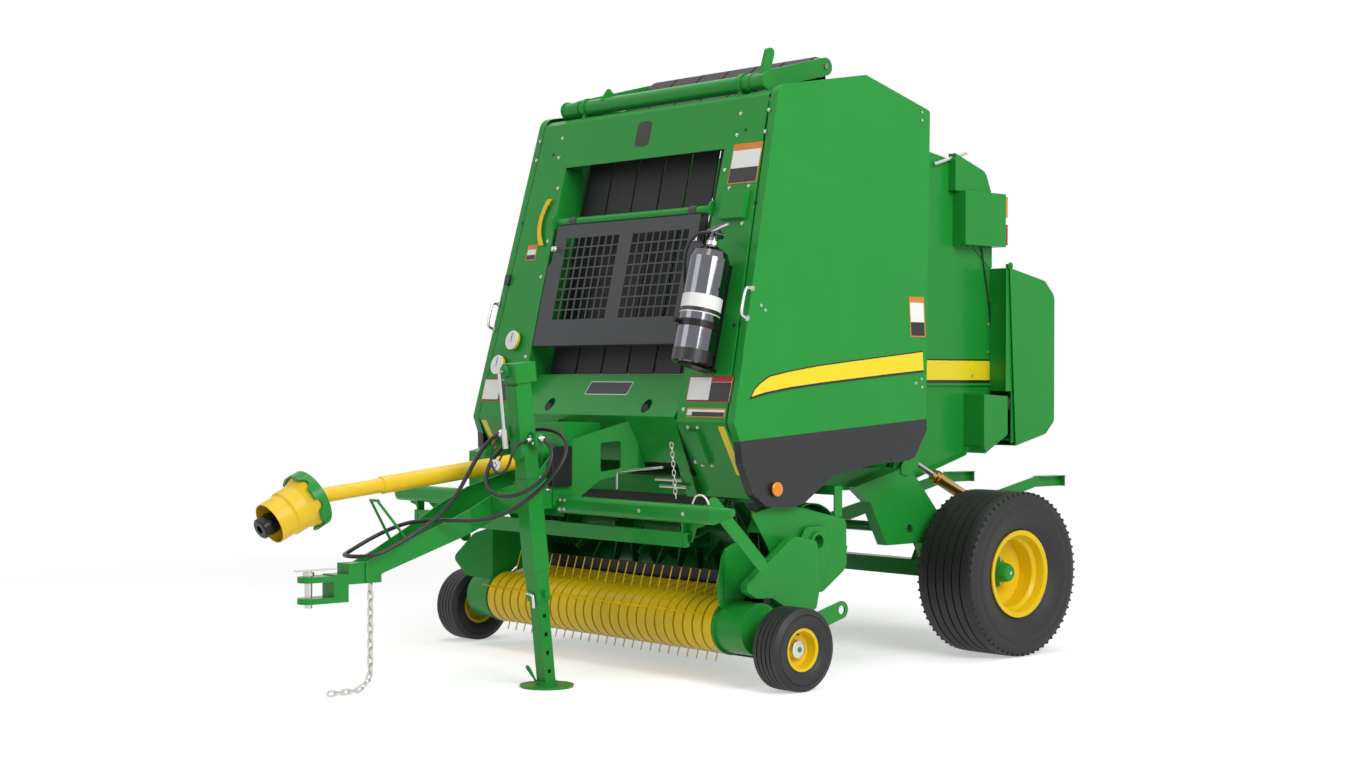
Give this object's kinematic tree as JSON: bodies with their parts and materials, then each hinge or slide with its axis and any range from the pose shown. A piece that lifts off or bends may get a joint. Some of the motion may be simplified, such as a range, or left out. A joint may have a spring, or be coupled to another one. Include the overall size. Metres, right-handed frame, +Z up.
{
  "type": "round baler",
  "caption": "Towed belt-type round baler with a wide pickup, rear gate with net-wrap hood, side shields, a jack and a driveline.",
  "frame": {"origin": "middle of the ground plan, on the ground under the wheels and the jack's foot", "axes": "+Z up, -Y the direction of travel, +X the machine's left-hand side"},
  "size_m": [2.449, 4.7889, 2.827],
  "materials": {
    "amber_lens": "clear moulded",
    "bare_steel": "worn",
    "belt_rubber": "worn",
    "black_paint": "satin",
    "black_plastic": "moulded",
    "cast_iron": "painted",
    "chrome": "polished",
    "gold_zinc": "yellow passivated zinc",
    "green_paint": "semi-gloss enamel",
    "green_plastic": "moulded",
    "grey_screen": "satin",
    "hose": "smooth",
    "net_roll": "rolled net",
    "red_lens": "clear moulded",
    "tyre": "dusty",
    "yellow_paint": "semi-gloss enamel",
    "yellow_plastic": "moulded",
    "zinc": "zinc plated"
  },
  "bodies": {
    "chassis": {"chamber_sides": "green_paint", "front_posts": "green_paint", "front_panels": "green_paint", "window_bar": "green_paint", "gauges": "yellow_plastic", "extinguisher": "chrome", "extinguisher_bracket": "black_paint", "tension_gear": "green_paint", "belt_rollers": "bare_steel", "front_belts": "belt_rubber", "side_pivots": "green_paint", "frame_rails": "green_paint", "intake_housing": "green_paint", "axle": "green_paint", "tongue": "green_paint", "clevis": "green_paint", "hitch_pin": "zinc", "safety_chain": "zinc", "gearbox": "green_paint", "jack_post": "green_paint", "jack_crank": "zinc", "front_guard": "green_paint", "hose_long": "hose", "hose_short": "hose"},
    "screen_door": {"screen_door": "grey_screen"},
    "shield_left": {"shield_panel_left": "green_paint", "shield_skirt_left": "black_plastic"},
    "shield_right": {"shield_panel_right": "green_paint", "shield_skirt_right": "black_plastic"},
    "gate": {"gate_frame": "green_paint", "gate_rollers": "bare_steel", "gate_belts": "belt_rubber", "lamp_boxes": "green_paint", "amber_lamps": "amber_lens", "red_lamps": "red_lens", "hood_brackets": "green_paint", "net_tray": "green_paint", "net_rollers": "net_roll"},
    "net_hood": {"net_hood": "green_paint"},
    "feed_rotor": {"feed_rotor": "green_paint"},
    "wheel_left": {"main_tyre_left": "tyre", "main_rim_left": "yellow_paint"},
    "wheel_right": {"main_tyre_right": "tyre", "main_rim_right": "yellow_paint"},
    "pickup": {"pickup_bands": "yellow_paint", "pickup_frame": "green_paint", "drive_shield": "green_paint", "gauge_arms": "green_paint"},
    "reel": {"pickup_reel": "yellow_paint"},
    "gauge_wheel_left": {"gauge_tyre_left": "tyre", "gauge_rim_left": "yellow_paint"},
    "gauge_wheel_right": {"gauge_tyre_right": "tyre", "gauge_rim_right": "yellow_paint"},
    "push_bar": {"push_bar": "green_paint"},
    "push_bar_barrel": {"push_bar_barrel": "gold_zinc"},
    "push_bar_rod": {"push_bar_rod": "zinc"},
    "driveline": {"driveline_guard": "yellow_plastic", "driveline_collar": "green_plastic"},
    "driveline_yoke": {"driveline_yoke": "cast_iron"},
    "jack_leg": {"jack_leg": "green_paint"}
  },
  "joints": [
    {"name": "wheel_left_spin", "type": "hinge", "parent": "chassis", "child": "wheel_left", "pos_m": [0.95, 1.09466, 0.394], "axis": [1, 0, 0], "continuous": true},
    {"name": "wheel_right_spin", "type": "hinge", "parent": "chassis", "child": "wheel_right", "pos_m": [-0.95, 1.09466, 0.394], "axis": [1, 0, 0], "continuous": true},
    {"name": "pickup_lift", "type": "hinge", "parent": "chassis", "child": "pickup", "pos_m": [0, -0.12534, 0.6], "axis": [-1, 0, 0], "range_deg": [0, 10]},
    {"name": "reel_spin", "type": "hinge", "parent": "pickup", "child": "reel", "pos_m": [0, -0.52534, 0.282], "axis": [1, 0, 0], "continuous": true},
    {"name": "gauge_left_spin", "type": "hinge", "parent": "pickup", "child": "gauge_wheel_left", "pos_m": [1.1495, -0.48734, 0.178], "axis": [1, 0, 0], "continuous": true},
    {"name": "gauge_right_spin", "type": "hinge", "parent": "pickup", "child": "gauge_wheel_right", "pos_m": [-1.1495, -0.48734, 0.178], "axis": [1, 0, 0], "continuous": true},
    {"name": "rotor_spin", "type": "hinge", "parent": "chassis", "child": "feed_rotor", "pos_m": [0, -0.12534, 0.6], "axis": [1, 0, 0], "continuous": true},
    {"name": "gate_lift", "type": "hinge", "parent": "chassis", "child": "gate", "pos_m": [0, 0.53466, 2.44], "axis": [1, 0, 0], "range_deg": [0, 60]},
    {"name": "net_hood_lift", "type": "hinge", "parent": "gate", "child": "net_hood", "pos_m": [0, 1.41266, 1.888], "axis": [1, 0, 0], "range_deg": [0, 60]},
    {"name": "shield_left_swing", "type": "hinge", "parent": "chassis", "child": "shield_left", "pos_m": [0.88891, 0.58816, 1.13185], "axis": [-0.0603, 0.0821, 0.9948], "range_deg": [0, 85]},
    {"name": "shield_right_swing", "type": "hinge", "parent": "chassis", "child": "shield_right", "pos_m": [-0.88891, 0.58816, 1.13185], "axis": [-0.0603, -0.0821, -0.9948], "range_deg": [0, 85]},
    {"name": "screen_door_swing", "type": "hinge", "parent": "chassis", "child": "screen_door", "pos_m": [0, -0.40277, 2.07794], "axis": [-1, 0, 0], "range_deg": [0, 80]},
    {"name": "push_bar_lower", "type": "hinge", "parent": "chassis", "child": "push_bar", "pos_m": [0, 1.18466, 0.56], "axis": [-1, 0, 0], "range_deg": [0, 28]},
    {"name": "barrel_swing", "type": "hinge", "parent": "push_bar", "child": "push_bar_barrel", "pos_m": [0.698, 1.27466, 0.687], "axis": [1, 0, 0], "range_deg": [0, 25.33]},
    {"name": "rod_extend", "type": "slide", "parent": "push_bar_barrel", "child": "push_bar_rod", "axis": [0, -0.9031, 0.4293], "range_m": [0, 0.0696]},
    {"name": "driveline_lift", "type": "hinge", "parent": "chassis", "child": "driveline", "pos_m": [0, -1.01624, 0.9556], "axis": [-1, 0, 0], "range_deg": [0, 25]},
    {"name": "yoke_spin", "type": "hinge", "parent": "driveline", "child": "driveline_yoke", "pos_m": [0, -2.32534, 0.731], "axis": [0, -0.8965, -0.4431], "continuous": true},
    {"name": "jack_raise", "type": "slide", "parent": "chassis", "child": "jack_leg", "axis": [0, -0.1149, 0.9934], "range_m": [0, 0.3]}
  ],
  "couplings": [
    {"joint": "barrel_swing", "follows": "push_bar_lower", "ratio": 0.90453},
    {"joint": "rod_extend", "follows": "push_bar_lower", "m_per_rad": 0.14236}
  ]
}
